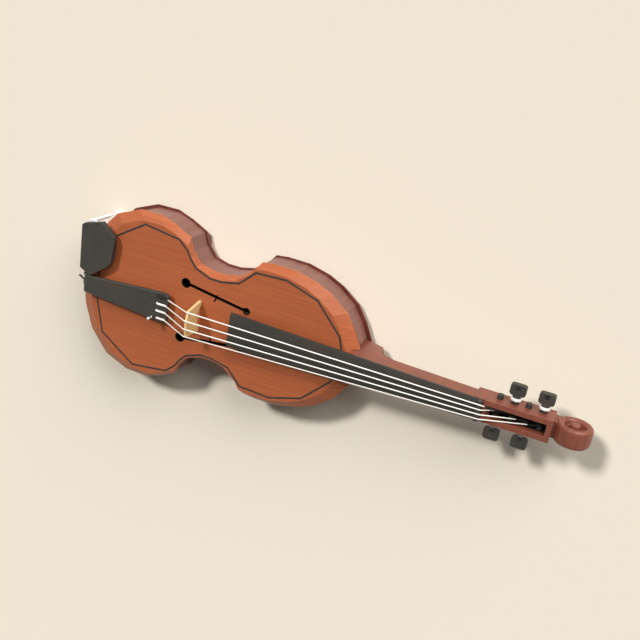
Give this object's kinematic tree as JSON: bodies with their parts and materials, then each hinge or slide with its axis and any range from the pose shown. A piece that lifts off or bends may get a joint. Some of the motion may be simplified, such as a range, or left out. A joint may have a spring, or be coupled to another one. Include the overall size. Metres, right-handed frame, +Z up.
{
  "type": "viola",
  "caption": "Four-string bowed viola with hollow body, arched-edge plates, scroll, tapered pegs, bridge, tailpiece with a fine tuner, and a clamped chinrest.",
  "frame": {"origin": "on the flat of the back, halfway along the body and on its centre line, where the instrument rests when it lies on its back", "axes": "+X along the strings towards the scroll, +Y towards the bass side, +Z up out of the belly"},
  "size_m": [0.7002, 0.23, 0.1031],
  "materials": {
    "varnish": "gloss",
    "rib_maple": "gloss",
    "back_maple": "gloss",
    "neck_maple": "satin",
    "inner_spruce": "matte",
    "ebony": "satin",
    "bridge_maple": "matte",
    "string": "satin",
    "collar_white": "gloss",
    "chrome": "polished",
    "cork": "matte",
    "gut": "matte"
  },
  "bodies": {
    "body": {"belly": "varnish", "back_plate": "back_maple", "belly_purfling": "ebony", "back_purfling": "ebony", "rib_lower_bass": "rib_maple", "rib_lower_treble": "rib_maple", "rib_waist_bass": "rib_maple", "rib_waist_treble": "rib_maple", "rib_upper_bass": "rib_maple", "rib_upper_treble": "rib_maple", "lining_belly_lower_bass": "inner_spruce", "lining_belly_lower_treble": "inner_spruce", "lining_belly_waist_bass": "inner_spruce", "lining_belly_waist_treble": "inner_spruce", "lining_belly_upper_bass": "inner_spruce", "lining_belly_upper_treble": "inner_spruce", "lining_back_lower_bass": "inner_spruce", "lining_back_lower_treble": "inner_spruce", "lining_back_waist_bass": "inner_spruce", "lining_back_waist_treble": "inner_spruce", "lining_back_upper_bass": "inner_spruce", "lining_back_upper_treble": "inner_spruce", "lower_block": "inner_spruce", "upper_block": "inner_spruce", "corner_block_lower_bass": "inner_spruce", "corner_block_lower_treble": "inner_spruce", "corner_block_upper_bass": "inner_spruce", "corner_block_upper_treble": "inner_spruce", "bass_bar": "inner_spruce", "sound_post": "inner_spruce", "neck": "neck_maple", "fingerboard": "ebony", "nut": "ebony", "bridge": "bridge_maple", "tailpiece": "ebony", "tuner_body": "chrome", "tail_gut": "gut", "saddle": "ebony", "end_button": "ebony", "string_c": "string", "string_g": "string", "string_d": "string", "string_a": "string", "chinrest_plate": "ebony", "chinrest_cork": "cork", "clamp_bracket": "chrome"},
    "peg_c_body": {"peg_c": "ebony", "peg_collar_c": "collar_white"},
    "peg_g_body": {"peg_g": "ebony", "peg_collar_g": "collar_white"},
    "peg_d_body": {"peg_d": "ebony", "peg_collar_d": "collar_white"},
    "peg_a_body": {"peg_a": "ebony", "peg_collar_a": "collar_white"},
    "tuner_screw_body": {"tuner_screw": "chrome"},
    "tuner_lever_body": {"tuner_lever": "chrome"},
    "clamp_barrel_1_body": {"clamp_barrel_1": "chrome"},
    "clamp_barrel_2_body": {"clamp_barrel_2": "chrome"},
    "clamp_foot_body": {"clamp_foot": "chrome", "clamp_foot_cork": "cork"}
  },
  "joints": [
    {"name": "peg_c_turn", "type": "hinge", "parent": "body", "child": "peg_c_body", "pos_m": [0.3934, 0, 0.0565], "axis": [0, 1, 0], "range_deg": [-1080, 90]},
    {"name": "peg_g_turn", "type": "hinge", "parent": "body", "child": "peg_g_body", "pos_m": [0.3758, 0, 0.0565], "axis": [0, -1, 0], "range_deg": [-90, 1080]},
    {"name": "peg_d_turn", "type": "hinge", "parent": "body", "child": "peg_d_body", "pos_m": [0.4094, 0, 0.0565], "axis": [0, -1, 0], "range_deg": [-90, 1080]},
    {"name": "peg_a_turn", "type": "hinge", "parent": "body", "child": "peg_a_body", "pos_m": [0.427, 0, 0.0565], "axis": [0, 1, 0], "range_deg": [-1080, 90]},
    {"name": "tuner_screw_turn", "type": "hinge", "parent": "body", "child": "tuner_screw_body", "pos_m": [-0.081, -0.0143, 0.086], "axis": [0, 0, -1], "range_deg": [0, 720]},
    {"name": "tuner_lever_tilt", "type": "hinge", "parent": "body", "child": "tuner_lever_body", "pos_m": [-0.0705, -0.0143, 0.0646], "axis": [0, -1, 0], "range_deg": [0, 5]},
    {"name": "clamp_barrel_1_turn", "type": "hinge", "parent": "body", "child": "clamp_barrel_1_body", "pos_m": [-0.1925, 0.0846, 0.042], "axis": [0, 0, 1], "range_deg": [0, 720]},
    {"name": "clamp_barrel_2_turn", "type": "hinge", "parent": "body", "child": "clamp_barrel_2_body", "pos_m": [-0.1986, 0.072, 0.042], "axis": [0, 0, 1], "range_deg": [0, 720]},
    {"name": "clamp_foot_slide", "type": "slide", "parent": "body", "child": "clamp_foot_body", "axis": [0, 0, -1], "range_m": [0, 0.0024]}
  ],
  "couplings": [
    {"joint": "tuner_lever_tilt", "follows": "tuner_screw_turn", "ratio": 0.0069444},
    {"joint": "clamp_barrel_1_turn", "follows": "clamp_foot_slide", "rad_per_m": 5236},
    {"joint": "clamp_barrel_2_turn", "follows": "clamp_foot_slide", "rad_per_m": 5236}
  ]
}
